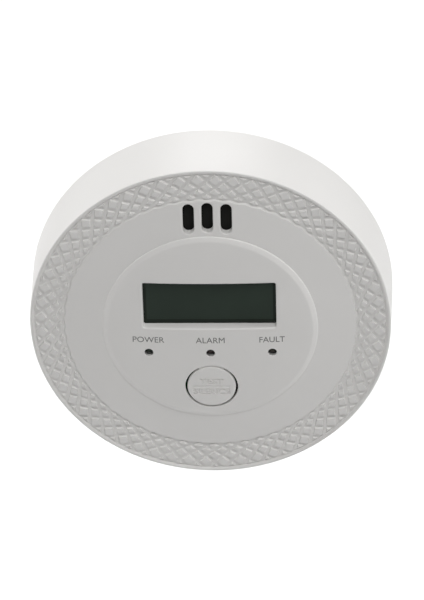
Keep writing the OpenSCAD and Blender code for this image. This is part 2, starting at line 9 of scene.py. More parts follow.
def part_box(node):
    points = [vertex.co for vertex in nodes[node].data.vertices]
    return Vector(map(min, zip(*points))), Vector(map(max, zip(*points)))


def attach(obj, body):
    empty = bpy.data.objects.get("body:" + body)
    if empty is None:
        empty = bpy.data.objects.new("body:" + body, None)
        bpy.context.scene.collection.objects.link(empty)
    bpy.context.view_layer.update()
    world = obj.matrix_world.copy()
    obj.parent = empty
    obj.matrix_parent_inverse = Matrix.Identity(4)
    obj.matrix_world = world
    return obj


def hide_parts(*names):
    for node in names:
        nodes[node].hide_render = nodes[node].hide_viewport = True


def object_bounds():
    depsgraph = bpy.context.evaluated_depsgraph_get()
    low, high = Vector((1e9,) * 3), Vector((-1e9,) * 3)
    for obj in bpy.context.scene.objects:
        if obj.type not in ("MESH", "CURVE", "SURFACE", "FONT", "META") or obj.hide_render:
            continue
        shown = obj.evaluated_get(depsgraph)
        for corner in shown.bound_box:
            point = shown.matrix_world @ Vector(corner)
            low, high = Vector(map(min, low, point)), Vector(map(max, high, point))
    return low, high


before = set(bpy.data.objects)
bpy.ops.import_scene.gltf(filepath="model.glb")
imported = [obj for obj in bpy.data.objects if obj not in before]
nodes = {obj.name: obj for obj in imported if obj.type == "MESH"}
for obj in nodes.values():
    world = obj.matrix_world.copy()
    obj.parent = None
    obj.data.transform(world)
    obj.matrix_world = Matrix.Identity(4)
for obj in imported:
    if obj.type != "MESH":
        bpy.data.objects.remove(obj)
cad_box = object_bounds()

# ---------------------------------------------------------------------------
# Studio: a pale floor well below the alarm, a broad light above and in front
# of the face, one to each side for the drum, one on the floor behind, and a
# faint pale surround that fills the shadows.
# ---------------------------------------------------------------------------
FLOOR_DROP = 0.45
FLOOR_SIZE = 8.0
PALE = (0.93, 0.93, 0.93, 1.0)
SURROUND = (1.0, 0.995, 0.985, 1.0)
SURROUND_STRENGTH = 0.18


def principled(name):
    """A new material and its shader and node tree."""
    material = bpy.data.materials.new(name)
    material.use_nodes = True
    tree = material.node_tree
    return material, tree.nodes["Principled BSDF"], tree


def add_object(name, mesh):
    """A mesh placed in the scene under a name."""
    piece = bpy.data.objects.new(name, mesh)
    bpy.context.scene.collection.objects.link(piece)
    return piece


floor_material, floor_shader, _ = principled("pale_floor")
floor_shader.inputs["Base Color"].default_value = PALE
floor_shader.inputs["Roughness"].default_value = 0.9
floor_mesh = bpy.data.meshes.new("floor")
half = FLOOR_SIZE / 2
floor_mesh.from_pydata(
    [(-half, -half, 0), (half, -half, 0), (half, half, 0), (-half, half, 0)], [], [(0, 1, 2, 3)]
)
floor_mesh.materials.append(floor_material)
floor = add_object("floor", floor_mesh)
floor.location = (0, 0, cad_box[0].z - FLOOR_DROP)

world = bpy.data.worlds.new("surround")
bpy.context.scene.world = world
world.use_nodes = True
world.node_tree.nodes["Background"].inputs["Color"].default_value = SURROUND
world.node_tree.nodes["Background"].inputs["Strength"].default_value = SURROUND_STRENGTH


def softbox(name, place, aim, size, power, spread=180):
    """A square area light at place, turned towards aim, its beam held to spread degrees."""
    light = bpy.data.lights.new(name, "AREA")
    light.shape = "SQUARE"
    light.size = size
    light.energy = power
    light.spread = math.radians(spread)
    lamp = bpy.data.objects.new(name, light)
    bpy.context.scene.collection.objects.link(lamp)
    lamp.location = place
    lamp.rotation_euler = (Vector(aim) - Vector(place)).to_track_quat("-Z", "Y").to_euler()


softbox("overhead_light", (0.2, -0.87, 1.24), (0, 0, 0), 0.8, 1.85, 70)
softbox("left_light", (-1.4, 0.3, 0.5), (0, 0, 0), 0.9, 15.0)
softbox("right_light", (1.4, 0.02, 0.6), (0, 0, 0), 0.7, 11.5)
softbox("rear_floor_light", (0.0, 1.5, 1.0), (0, 0.8, -0.5), 1.0, 6.2, 100)
bpy.context.scene.view_settings.view_transform = "Standard"

# ---------------------------------------------------------------------------
# Camera: a long lens over a metre in front of the face, above it and a touch
# to the right, rolled slightly, aimed a little above the middle of the face.
# ---------------------------------------------------------------------------
MM = 0.001
VIEW_AZIMUTH = math.radians(2.84)
VIEW_ELEVATION = math.radians(33.65)
VIEW_ROLL = math.radians(1.7)
VIEW_DISTANCE = 1.144
LENS_MM = 238.5
SENSOR_MM = 36.0
FACE_CENTRE_LEFT = 0.48 * MM
FACE_CENTRE_BELOW = 7.15 * MM
DRUM_DEPTH = 21.7

cover_low, cover_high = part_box("front_cover")
case_low, case_high = cover_low / MM, cover_high / MM
drum_z = -case_high.y
lip_z = drum_z + DRUM_DEPTH

camera_data = bpy.data.cameras.new("camera")
camera_data.lens = LENS_MM
camera_data.sensor_width = SENSOR_MM
camera_data.clip_start = 0.05
camera_data.clip_end = 30.0
camera = bpy.data.objects.new("camera", camera_data)
bpy.context.scene.collection.objects.link(camera)
back = Vector((
    math.sin(VIEW_AZIMUTH) * math.cos(VIEW_ELEVATION),
    -math.cos(VIEW_AZIMUTH) * math.cos(VIEW_ELEVATION),
    math.sin(VIEW_ELEVATION),
))
level = Vector((math.cos(VIEW_AZIMUTH), math.sin(VIEW_AZIMUTH), 0))
upright = back.cross(level)
right = level * math.cos(VIEW_ROLL) - upright * math.sin(VIEW_ROLL)
up = back.cross(right)
face_centre = Vector((0, -lip_z * MM, 0))
camera.matrix_world = Matrix.Translation(
    face_centre + back * VIEW_DISTANCE + right * FACE_CENTRE_LEFT + up * FACE_CENTRE_BELOW
) @ Matrix((right, up, back)).transposed().to_4x4()
bpy.context.scene.camera = camera

# ---------------------------------------------------------------------------
# White moulding: satin white ABS with the fine grain of a spark-eroded mould,
# used for every white piece of the case.
# ---------------------------------------------------------------------------
MOTTLE_SCALE = 60.0


def grained(name, colour, roughness, grain_mm, depth_mm, tone=0.02, gloss=0.05, metallic=0.0):
    """A solid material with a fine surface grain and slight changes of tone and gloss.

    grain_mm is the width of a grain and depth_mm its height.
    tone and gloss are the changes in colour and roughness.
    """
    material, shader, tree = principled(name)
    new, link = tree.nodes.new, tree.links.new
    place = new("ShaderNodeTexCoord")
    broad = new("ShaderNodeTexNoise")
    broad.inputs["Scale"].default_value = MOTTLE_SCALE
    broad.inputs["Detail"].default_value = 3.0
    link(place.outputs["Object"], broad.inputs["Vector"])
    tint = new("ShaderNodeMixRGB")
    tint.inputs["Color1"].default_value = [c * (1 - tone) for c in colour] + [1.0]
    tint.inputs["Color2"].default_value = [min(1.0, c * (1 + tone)) for c in colour] + [1.0]
    link(broad.outputs["Fac"], tint.inputs["Fac"])
    link(tint.outputs["Color"], shader.inputs["Base Color"])
    fine = new("ShaderNodeTexNoise")
    fine.inputs["Scale"].default_value = 1.0 / (grain_mm * MM)
    fine.inputs["Detail"].default_value = 2.0
    fine.inputs["Roughness"].default_value = 0.6
    link(place.outputs["Object"], fine.inputs["Vector"])
    sheen = new("ShaderNodeMapRange")
    sheen.inputs["To Min"].default_value = roughness - gloss
    sheen.inputs["To Max"].default_value = roughness + gloss
    link(fine.outputs["Fac"], sheen.inputs["Value"])
    link(sheen.outputs["Result"], shader.inputs["Roughness"])
    bump = new("ShaderNodeBump")
    bump.inputs["Strength"].default_value = 1.0
    bump.inputs["Distance"].default_value = depth_mm * MM
    link(fine.outputs["Fac"], bump.inputs["Height"])
    link(bump.outputs["Normal"], shader.inputs["Normal"])
    shader.inputs["Metallic"].default_value = metallic
    return material


def dress(node, material):
    """Gives a carried-over CAD piece its finish."""
    mesh = nodes[node].data
    mesh.materials.clear()
    mesh.materials.append(material)
    for face in mesh.polygons:
        face.material_index = 0


white_moulding = grained("white_moulding", (0.80, 0.79, 0.775), 0.46, 0.22, 0.006, 0.012)

# ---------------------------------------------------------------------------
# Front cover: one white moulding with the drum's side, the lip, the recessed
# band of diamonds, the domed ring and the middle panel. Four screws, driven
# through the rear cover into posts behind the face, hold it.
# ---------------------------------------------------------------------------
LIP_R = 52.0
LIP_W = 1.15
LIP_ROUND = 0.38
LIP_CHAMFER = 0.34
LIP_EDGE = 0.1
REAR_ROUND = 0.5
SIDE_WALL = 2.0
BAND_DEPTH = 0.63
BAND_R = 42.2
BAND_ROUND = 0.12
BAND_LAP = 1.0
RING_EDGE_R = 42.0
TOOTH = 0.3
TOOTH_SHARE = 3
EDGE_OUT = 0.22
EDGE_IN = 0.18
EDGE_SUNK = 0.04
DOME_R = 312.0
RING_RISE = 2.75
PANEL_RISE = -case_low.y - lip_z
PANEL_R = 31.0
PANEL_SLOPE = 1.6
STEP_PITCH = 2.2
STEP_W = 0.14
SLOPE_PITCH = 0.5
WALL = 2.2
ROUNDING = 0.16
DIAMONDS = 60
DIAMOND_LEVELS = range(-1, 4)
DIAMOND_RATIO = 0.81
DIAMOND_H = 0.56
DIAMOND_BEVEL = 0.25
DIAMOND_ROOT = 0.1
DIAMOND_CREST_W = 0.07
DIAMOND_CREST_H = 0.05
GROOVE = 0.8
CROSSING_LAP = 0.3
LIP_GAP = 0.35
ROUND_STEPS = 256
drum_r = (case_high.x - case_low.x) / 2
floor_z = lip_z - BAND_DEPTH

glass_low, glass_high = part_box("lcd_glass")
window_up = (glass_low.z + glass_high.z) / 2 / MM
glass_z = -glass_low.y / MM
WINDOW_W = 38.2
WINDOW_H = 15.0
WINDOW_CORNER = 0.6
WINDOW_RIM = 0.45
WINDOW_SEAT = 2.0
GLASS_GAP = 0.05
LED_PITCH = 17.8
LED_DOWN = 7.6
LED_HOLE_R = 1.25
LED_RIM = 0.12
LED_BORE_R = 1.8
LED_SKIN = 0.35
BUTTON_DOWN = 19.7
BUTTON_HOLE_R = 7.65
BUTTON_HOLE_RIM = 0.1
BUTTON_STEPS = 120
THIN_W = 0.5
THIN_T = 1.0
STEP_DOWN_W = 0.05
SLOT_W = 3.25
SLOT_LEN = 9.2
SLOT_PITCH = 5.36
SLOT_UP = 36.7
SLOT_RIM = 0.3
OUTER_LOOP = 1.6


def dip(r):
    """How far a dome of the face's radius has dropped at radius r."""
    return DOME_R - math.sqrt(DOME_R * DOME_R - r * r)


def smooth_min(a, b, blend):
    """The lesser of two heights, with a fillet where they meet."""
    h = max(blend - abs(a - b), 0.0) / blend
    return min(a, b) - h * h * blend / 4


def face_height(r):
    """Height of the plain face above the lip at radius r, before any opening."""
    ring = RING_RISE - dip(r)
    panel = PANEL_RISE - dip(r)
    foot = RING_RISE - dip(PANEL_R)
    step = foot + (PANEL_R - r) * STEP_PITCH
    slope = foot + STEP_W * STEP_PITCH + (PANEL_R - STEP_W - r) * SLOPE_PITCH
    rise = smooth_min(step, slope, ROUNDING / 2)
    return smooth_min(panel, max(ring, rise), ROUNDING)


def to_frame(x, y, z):
    """A point given right, up and out from the wall, in mm, in the row frame, in metres."""
    return (x * MM, -z * MM, y * MM)


def circle_distance(r):
    """Distance outside a circle."""
    return lambda x, y: math.hypot(x, y) - r


def slot_distance(length, width):
    """Distance outside an upright slot with round ends."""
    reach = (length - width) / 2
    return lambda x, y: math.hypot(x, max(abs(y) - reach, 0.0)) - width / 2


def rectangle_distance(w, h, corner):
    """Distance outside a rectangle with rounded corners, below zero inside it."""
    def distance(x, y):
        dx, dy = abs(x) - w / 2 + corner, abs(y) - h / 2 + corner
        return math.hypot(max(dx, 0), max(dy, 0)) + min(max(dx, dy), 0) - corner
    return distance


def circle_loop(r, count):
    """Outline of a circle, as a function of how far it is grown."""
    return lambda d: [
        ((r + d) * math.cos(2 * math.pi * i / count), (r + d) * math.sin(2 * math.pi * i / count))
        for i in range(count)
    ]


def capsule_loop(w, h, corner, steps, along):
    """Outline of a box with round corners, as a function of how far it is grown."""
    def loop(d):
        points = []
        r = corner + d
        for quarter, (sx, sy) in enumerate(((1, 1), (-1, 1), (-1, -1), (1, -1))):
            cx, cy = sx * (w / 2 - corner), sy * (h / 2 - corner)
            for i in range(steps + 1):
                a = math.pi / 2 * (quarter + i / steps)
                points.append((cx + r * math.cos(a), cy + r * math.sin(a)))
            nx, ny = ((-sx, sy) if quarter % 2 == 0 else (sx, -sy))
            ex, ey = nx * (w / 2 - corner), ny * (h / 2 - corner)
            last = points[-1]
            a = math.pi / 2 * (quarter + 1)
            goal = (ex + r * math.cos(a), ey + r * math.sin(a))
            count = max(1, round(math.hypot(goal[0] - last[0], goal[1] - last[1]) / along))
            for i in range(1, count):
                t = i / count
                points.append((last[0] + (goal[0] - last[0]) * t, last[1] + (goal[1] - last[1]) * t))
        clean = [points[0]]
        for p in points[1:]:
            if math.hypot(p[0] - clean[-1][0], p[1] - clean[-1][1]) > 1e-4:
                clean.append(p)
        if math.hypot(clean[0][0] - clean[-1][0], clean[0][1] - clean[-1][1]) < 1e-4:
            clean.pop()
        return clean
    return loop


class Opening:
    """A hole through the face: its place, outline, distance function and the rounding of its rim.

    beyond lists how far outside its outline the face's inner side is stepped.
    """

    def __init__(self, x, y, loop, distance, rim, beyond=()):
        self.x, self.y, self.loop, self.distance, self.rim = x, y, loop, distance, rim
        self.beyond = beyond

    def away(self, x, y):
        """Distance from the edge of the hole, below zero inside it."""
        return self.distance(x - self.x, y - self.y)

    def drop(self, x, y):
        """How far the rounded rim falls below the face."""
        d = self.away(x, y)
        if d >= self.rim:
            return 0.0
        s = self.rim - max(d, 0.0)
        return self.rim - math.sqrt(max(self.rim * self.rim - s * s, 0.0))

    def loops(self):
        """Outlines that follow the hole's edge, its rim and the steps behind it."""
        turns = [0, 20, 42, 66, 90]
        steps = [self.rim * (1 - math.cos(math.radians(a))) for a in turns]
        steps += [self.rim * OUTER_LOOP, *self.beyond]
        return [[(self.x + px, self.y + py) for px, py in self.loop(d)] for d in steps]


window = Opening(
    0, window_up, capsule_loop(WINDOW_W, WINDOW_H, WINDOW_CORNER, 5, 1.0),
    rectangle_distance(WINDOW_W, WINDOW_H, WINDOW_CORNER), WINDOW_RIM,
)
openings = [window]
led_step = LED_BORE_R - LED_HOLE_R
for x in (-LED_PITCH, 0, LED_PITCH):
    openings.append(Opening(
        x, -LED_DOWN, circle_loop(LED_HOLE_R, 48), circle_distance(LED_HOLE_R), LED_RIM,
        (led_step, led_step + STEP_DOWN_W),
    ))
openings.append(Opening(
    0, -BUTTON_DOWN, circle_loop(BUTTON_HOLE_R, BUTTON_STEPS), circle_distance(BUTTON_HOLE_R),
    BUTTON_HOLE_RIM, (THIN_W, THIN_W + STEP_DOWN_W),
))
for x in (-SLOT_PITCH, 0.0, SLOT_PITCH):
    openings.append(Opening(
        x, math.sqrt(SLOT_UP ** 2 - x * x),
        capsule_loop(SLOT_W, SLOT_LEN, SLOT_W / 2 - 0.001, 10, 0.6),
        slot_distance(SLOT_LEN, SLOT_W), SLOT_RIM,
    ))


def crossing_r(k):
    """Radius of the k-th ring of groove crossings, counted inwards from under the lip."""
    outer = LIP_R - LIP_W / 2
    inner = BAND_R - CROSSING_LAP
    span = (outer - inner) / (1 / DIAMOND_RATIO - DIAMOND_RATIO ** 4)
    return outer - span / DIAMOND_RATIO + span * DIAMOND_RATIO ** k


def diamond_points(k):
    """Corners of a diamond at level k, each as an angle from its middle and a radius."""
    half_w = crossing_r(k) * math.pi / DIAMONDS
    out_h = crossing_r(k - 1) - crossing_r(k)
    in_h = crossing_r(k) - crossing_r(k + 1)
    out_left = 1 - GROOVE / 2 * math.hypot(half_w, out_h) / (half_w * out_h)
    in_left = 1 - GROOVE / 2 * math.hypot(half_w, in_h) / (half_w * in_h)
    side = (out_left + in_left) / 2 * math.pi / DIAMONDS
    middle = crossing_r(k)
    outer = middle + out_h * out_left
    inner = middle - in_h * in_left
    return [(side, middle), (0.0, outer), (-side, middle), (0.0, inner)]


def trim(points, r_max):
    """The part of an outline, in angle and radius, that lies inside radius r_max."""
    kept = []
    for (a0, r0), (a1, r1) in zip(points, points[1:] + points[:1]):
        if r0 <= r_max:
            kept.append((a0, r0))
        if (r0 <= r_max) != (r1 <= r_max):
            t = (r_max - r0) / (r1 - r0)
            kept.append((a0 + (a1 - a0) * t, r_max))
    return kept


def shrink(points, d):
    """A convex outline with every side moved inwards by d."""
    count = len(points)
    lines = []
    for i in range(count):
        (x0, y0), (x1, y1) = points[i], points[(i + 1) % count]
        length = math.hypot(x1 - x0, y1 - y0)
        nx, ny = -(y1 - y0) / length, (x1 - x0) / length
        lines.append((nx, ny, nx * x0 + ny * y0 + d))
    corners = []
    for i in range(count):
        (a, b, e), (c, f, g) = lines[i - 1], lines[i]
        det = a * f - b * c
        corners.append(((e * f - b * g) / det, (a * g - e * c) / det))
    return corners


def ring_edge_r(angle):
    """Outer edge of the ring, which ends in teeth that carry on the diamonds' grooves."""
    pitch = 2 * math.pi / DIAMONDS
    place = ((angle - math.pi / 2) / pitch - 0.5) % 1.0
    off = min(place, 1 - place) * pitch
    return RING_EDGE_R + TOOTH * max(0.0, 1 - off / (pitch / TOOTH_SHARE))


def top_height(x, y):
    """Distance of the face's outer surface from the wall."""
    r = math.hypot(x, y)
    height = lip_z + face_height(r)
    past = r - ring_edge_r(math.atan2(y, x))
    if past > -EDGE_IN:
        t = min(1.0, (past + EDGE_IN) / (EDGE_IN + EDGE_OUT))
        height -= (height - floor_z + EDGE_SUNK) * t * t * (3 - 2 * t)
    return height - max(o.drop(x, y) for o in openings)


def under_height(x, y):
    """Distance of the face's inner surface from the wall."""
    if window.away(x, y) < WINDOW_SEAT:
        return glass_z + GLASS_GAP
    r = math.hypot(x, y)
    if abs(math.hypot(x, y + BUTTON_DOWN) - BUTTON_HOLE_R) < THIN_W + 0.01:
        return lip_z + face_height(r) - THIN_T
    for led_x in (-LED_PITCH, 0, LED_PITCH):
        if math.hypot(x - led_x, y + LED_DOWN) < LED_BORE_R + 0.01:
            return lip_z + face_height(r) - LED_SKIN
    return lip_z + face_height(r) - WALL


def moulded_plate(name, loops, points, inside, top, under):
    """A closed plate over a flat layout: loops and points in mm, kept where inside says so."""
    coords, edges = [], []
    for loop in loops:
        start = len(coords)
        coords += [Vector(p) for p in loop]
        edges += [(start + i, start + (i + 1) % len(loop)) for i in range(len(loop))]
    coords += [Vector(p) for p in points]
    flat, _, faces, *_ = delaunay_2d_cdt(coords, edges, [], 0, 1e-5)
    kept = []
    for face in faces:
        cx = sum(flat[i].x for i in face) / len(face)
        cy = sum(flat[i].y for i in face) / len(face)
        if inside(cx, cy):
            a, b, c = (flat[i] for i in face[:3])
            turn = (b.x - a.x) * (c.y - a.y) - (b.y - a.y) * (c.x - a.x)
            kept.append(list(face) if turn > 0 else list(face)[::-1])
    used = sorted({i for face in kept for i in face})
    order = {i: n for n, i in enumerate(used)}
    count = len(used)
    verts = [to_frame(flat[i].x, flat[i].y, top(flat[i].x, flat[i].y)) for i in used]
    verts += [to_frame(flat[i].x, flat[i].y, under(flat[i].x, flat[i].y)) for i in used]
    skin = []
    sides = {}
    for face in kept:
        f = [order[i] for i in face]
        skin.append(f)
        skin.append([i + count for i in reversed(f)])
        for a, b in zip(f, f[1:] + f[:1]):
            sides[(a, b)] = True
    for a, b in sides:
        if (b, a) not in sides:
            skin.append([b, a, a + count, b + count])
    mesh = bpy.data.meshes.new(name)
    mesh.from_pydata(verts, [], skin)
    return mesh


def ring_points(r, count, shift=0.0):
    """Evenly spaced points on a circle, turned by shift of a space."""
    return [
        (r * math.cos(2 * math.pi * (i + shift) / count), r * math.sin(2 * math.pi * (i + shift) / count))
        for i in range(count)
    ]


EDGE_POINTS = 12
SLOPE_POINTS = 288
RING_POINTS = 240
POINT_GAP = 1.1
POINT_TURN = 0.37
MIN_POINTS = 8
SLOPE_STEP = 0.2
CORNER_STEP = 0.07
CLEAR_OF_LOOPS = 0.35


def edge_loop(d):
    """The toothed edge of the ring, grown by d."""
    steps = DIAMONDS * EDGE_POINTS
    loop = []
    for i in range(steps):
        a = 2 * math.pi * i / steps
        r = ring_edge_r(a) + d
        loop.append((r * math.cos(a), r * math.sin(a)))
    return loop


def face_layout():
    """Loops round every opening and the points of the plain face between them.

    The rings of points are closest together where the panel's edge turns.
    """
    loops = [edge_loop(d) for d in (EDGE_OUT, 0.09, -0.04, -EDGE_IN, -0.6)]
    for opening in openings:
        loops += opening.loops()
    points = []
    r = PANEL_R + 1.0
    while r > PANEL_R - PANEL_SLOPE - 1.2:
        points += ring_points(r, SLOPE_POINTS)
        r -= CORNER_STEP if PANEL_R - 0.2 < r < PANEL_R + 0.01 else SLOPE_STEP
    shift = 0.0
    while r > 0.7:
        points += ring_points(r, max(MIN_POINTS, round(2 * math.pi * r / POINT_GAP)), shift)
        r -= 1.0
        shift += POINT_TURN
    r = PANEL_R + 2.0
    while r < RING_EDGE_R - 1.0:
        points += ring_points(r, RING_POINTS, shift)
        r += POINT_GAP
        shift += POINT_TURN
    points.append((0.0, 0.0))
    clear = [
        p for p in points
        if min(o.away(*p) - max(o.rim * OUTER_LOOP, *o.beyond, 0) for o in openings) > CLEAR_OF_LOOPS
    ]
    return loops, clear


def in_face(x, y):
    """Whether a point lies on the face and outside every hole."""
    if math.hypot(x, y) > ring_edge_r(math.atan2(y, x)) + EDGE_OUT:
        return False
    return min(o.away(x, y) for o in openings) > 0


def turned(name, profile, steps):
    """A closed ring turned from a profile of (radius, distance from the wall) points in mm."""
    verts, faces = [], []
    count = len(profile)
    for i in range(steps):
        a = 2 * math.pi * i / steps
        verts += [to_frame(r * math.cos(a), r * math.sin(a), z) for r, z in profile]
    for i in range(steps):
        for j in range(count):
            k = (j + 1) % count
            n = (i + 1) % steps
            faces.append((i * count + j, n * count + j, n * count + k, i * count + k))
    mesh = bpy.data.meshes.new(name)
    mesh.from_pydata(verts, [], faces)
    return mesh


def arc(cx, cz, r, start, end, steps):
    """Points of an arc in a profile, angles in degrees."""
    turns = [math.radians(start + (end - start) * i / steps) for i in range(steps + 1)]
    return [(cx + r * math.cos(a), cz + r * math.sin(a)) for a in turns]


inner_lip_r = LIP_R - LIP_W
lip_crest_r = inner_lip_r + LIP_EDGE + LIP_CHAMFER
band_inner_r = BAND_R - BAND_LAP
band_under_z = floor_z - WALL
drum_inner_r = LIP_R - SIDE_WALL
drum_profile = (
    arc(drum_r - REAR_ROUND, drum_z + REAR_ROUND, REAR_ROUND, -90, 0, 5)
    + arc(LIP_R - LIP_ROUND, lip_z - LIP_ROUND, LIP_ROUND, 0, 90, 6)
    + arc(lip_crest_r, lip_z - LIP_EDGE, LIP_EDGE, 90, 135, 2)
    + arc(inner_lip_r + LIP_EDGE, lip_z - LIP_CHAMFER, LIP_EDGE, 135, 180, 2)
    + arc(inner_lip_r - BAND_ROUND, floor_z + BAND_ROUND, BAND_ROUND, 0, -90, 3)
    + [(band_inner_r, floor_z), (band_inner_r, band_under_z)]
    + [(drum_inner_r, band_under_z), (drum_inner_r, drum_z)]
)


def diamond_band():
    """Every raised diamond of the band, as small bevelled blocks standing on its floor."""
    verts, faces = [], []
    pitch = 2 * math.pi / DIAMONDS
    for k in DIAMOND_LEVELS:
        flat = [(a * crossing_r(k), r) for a, r in trim(diamond_points(k), inner_lip_r - LIP_GAP)]
        rows = [
            (flat, floor_z - DIAMOND_ROOT),
            (shrink(flat, DIAMOND_BEVEL), floor_z + DIAMOND_H - DIAMOND_CREST_H),
            (shrink(flat, DIAMOND_BEVEL + DIAMOND_CREST_W), floor_z + DIAMOND_H),
        ]
        count = len(flat)
        for i in range(DIAMONDS):
            middle = math.pi / 2 + (i + (0.5 if k % 2 == 0 else 0.0)) * pitch
            start = len(verts)
            for points, z in rows:
                for x, r in points:
                    a = middle + x / crossing_r(k)
                    verts.append(to_frame(r * math.cos(a), r * math.sin(a), z))
            for row in range(2):
                for j in range(count):
                    n = (j + 1) % count
                    a = start + row * count
                    faces.append((a + j, a + n, a + count + n, a + count + j))
            faces.append([start + 2 * count + j for j in range(count)])
            faces.append([start + j for j in reversed(range(count))])
    mesh = bpy.data.meshes.new("diamonds")
    mesh.from_pydata(verts, [], faces)
    return mesh


def joined(name, meshes, material, sharp=32):
    """One object from several meshes, with its hard edges kept sharp."""
    bm = bmesh.new()
    for mesh in meshes:
        bm.from_mesh(mesh)
        bpy.data.meshes.remove(mesh)
    bmesh.ops.recalc_face_normals(bm, faces=bm.faces)
    mesh = bpy.data.meshes.new(name)
    bm.to_mesh(mesh)
    bm.free()
    mesh.materials.append(material)
    for face in mesh.polygons:
        face.use_smooth = True
    mesh.set_sharp_from_angle(angle=math.radians(sharp))
    return add_object(name, mesh)


loops, points = face_layout()
front_shell = joined("front_shell", [
    moulded_plate("face", loops, points, in_face, top_height, under_height),
    turned("drum", drum_profile, ROUND_STEPS),
    diamond_band(),
], white_moulding)
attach(front_shell, "alarm")
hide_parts("front_cover")

# ---------------------------------------------------------------------------
# Test button: a round flap of the same moulding that bends inwards on a web
# at its top, with sunk words and a line, and a stem over the switch.
# ---------------------------------------------------------------------------
BUTTON_R = 7.03
BUTTON_RIM = 0.24
STEM_R = 1.2
STEM_ROUND = 0.3
STEM_BORE_R = 0.001
STEM_LAP = 0.2
WEB_HALF = math.radians(30)
WEB_DROP = 0.45
WEB_INNER_R = BUTTON_R - 0.8
WEB_OUTER_R = BUTTON_HOLE_R - 0.04
WEB_STEPS = 24
WEB_LAP = 0.1
WORD_H = 2.1
TEST_W = 7.1
TEST_UP = 1.9
SILENCE_W = 10.9
SILENCE_DOWN = 1.75
LINE_W = 10.8
LINE_T = 0.66
LINE_UP = 0.1
LINE_STEPS = 16
ENGRAVING = 0.28
TAPER = 0.045
CUTTER_ABOVE = 0.3
LINE_ABOVE = 0.05
_, button_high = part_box("test_button")
panel_top = lip_z + PANEL_RISE
button_back = panel_top - WALL - dip(BUTTON_DOWN)
stem_z = -button_high.y / MM
flap_loop = circle_loop(BUTTON_R, BUTTON_STEPS)


def plain_dome(x, y):
    """Height of the panel's dome, with nothing let into it."""
    return panel_top - dip(math.hypot(x, y))


def inside_rim(x, y):
    """How far a point lies inside the flap's outline."""
    return BUTTON_R - math.hypot(x, y + BUTTON_DOWN)


def flap_height(x, y):
    """Outer surface of the flap, rounded at its rim, on the face's dome."""
    inwards = inside_rim(x, y)
    height = plain_dome(x, y)
    if inwards < BUTTON_RIM:
        s = BUTTON_RIM - max(inwards, 0.0)
        height -= BUTTON_RIM - math.sqrt(max(BUTTON_RIM ** 2 - s * s, 0.0))
    return height


def flap_under(x, y):
    """Inner surface of the flap, thinned along its rim."""
    if inside_rim(x, y) < THIN_W + 0.01:
        return plain_dome(x, y) - THIN_T
    return button_back


flap_loops = [
    [(px, py - BUTTON_DOWN) for px, py in flap_loop(-d)]
    for d in (0.0, 0.012, 0.04, 0.08, BUTTON_RIM, THIN_W, THIN_W + STEP_DOWN_W)
]
flap_points = [(0.0, -BUTTON_DOWN)]
for i in range(1, 7):
    flap_points += [(px, py - BUTTON_DOWN) for px, py in ring_points(i, 6 * i + 12)]
flap_mesh = moulded_plate(
    "flap", flap_loops, flap_points, lambda x, y: inside_rim(x, y) > 0, flap_height, flap_under
)


def bar_faces(steps):
    """Faces of a closed bar whose corners come in fours, low and high on one side, then the other."""
    faces = []
    for i in range(steps):
        a, b = 4 * i, 4 * i + 4
        for j, n in ((0, 1), (1, 3), (3, 2), (2, 0)):
            faces.append((a + j, a + n, b + n, b + j))
    last = 4 * steps
    return faces + [(0, 1, 3, 2), (last, last + 2, last + 3, last + 1)]


def web_part():
    """The thin web that joins the flap to the cover, below the surface."""
    verts = []
    for i in range(WEB_STEPS + 1):
        a = math.pi / 2 - WEB_HALF + 2 * WEB_HALF * i / WEB_STEPS
        for r in (WEB_INNER_R, WEB_OUTER_R):
            x, y = r * math.cos(a), r * math.sin(a) - BUTTON_DOWN
            verts.append(to_frame(x, y, button_back + WEB_LAP))
            verts.append(to_frame(x, y, plain_dome(x, y) - WEB_DROP))
    mesh = bpy.data.meshes.new("web")
    mesh.from_pydata(verts, [], bar_faces(WEB_STEPS))
    return mesh


stem_profile = (
    [(STEM_BORE_R, stem_z)]
    + arc(STEM_R - STEM_ROUND, stem_z + STEM_ROUND, STEM_ROUND, -90, 0, 4)
    + [(STEM_R, button_back + STEM_LAP), (STEM_BORE_R, button_back + STEM_LAP)]
)
stem_mesh = turned("stem", stem_profile, 32)
for vertex in stem_mesh.vertices:
    vertex.co.z -= BUTTON_DOWN * MM


def lettering(words, width, height, x, y, surface, raise_mm, sink_mm=0.1, taper=0.0):
    """Solid letters of a plain sans face, sized to width and height and laid on a surface.

    With a taper the letters are widest at the surface and narrow below it.
    """
    half_depth = 0.5
    curve = bpy.data.curves.new("letters", "FONT")
    curve.body = words
    curve.extrude = 0.0 if taper else half_depth
    curve.bevel_depth = taper
    curve.bevel_resolution = 0
    curve.resolution_u = 4
    letters = bpy.data.objects.new("letters", curve)
    bpy.context.scene.collection.objects.link(letters)
    bpy.context.view_layer.update()
    shaped = letters.evaluated_get(bpy.context.evaluated_depsgraph_get())
    mesh = bpy.data.meshes.new_from_object(shaped)
    bpy.data.objects.remove(letters)
    bpy.data.curves.remove(curve)
    bm = bmesh.new()
    bm.from_mesh(mesh)
    bmesh.ops.remove_doubles(bm, verts=bm.verts, dist=1e-5)
    bm.to_mesh(mesh)
    bm.free()
    xs = [v.co.x for v in mesh.vertices]
    ys = [v.co.y for v in mesh.vertices]
    for v in mesh.vertices:
        px = x + ((v.co.x - min(xs)) / (max(xs) - min(xs)) - 0.5) * width
        py = y + ((v.co.y - min(ys)) / (max(ys) - min(ys)) - 0.5) * height
        level = v.co.z / (taper or half_depth)
        offset = 0.02
        if abs(level) >= 0.5:
            offset = raise_mm if level > 0 else -sink_mm
        v.co = to_frame(px, py, surface(px, py) + offset)
    return mesh


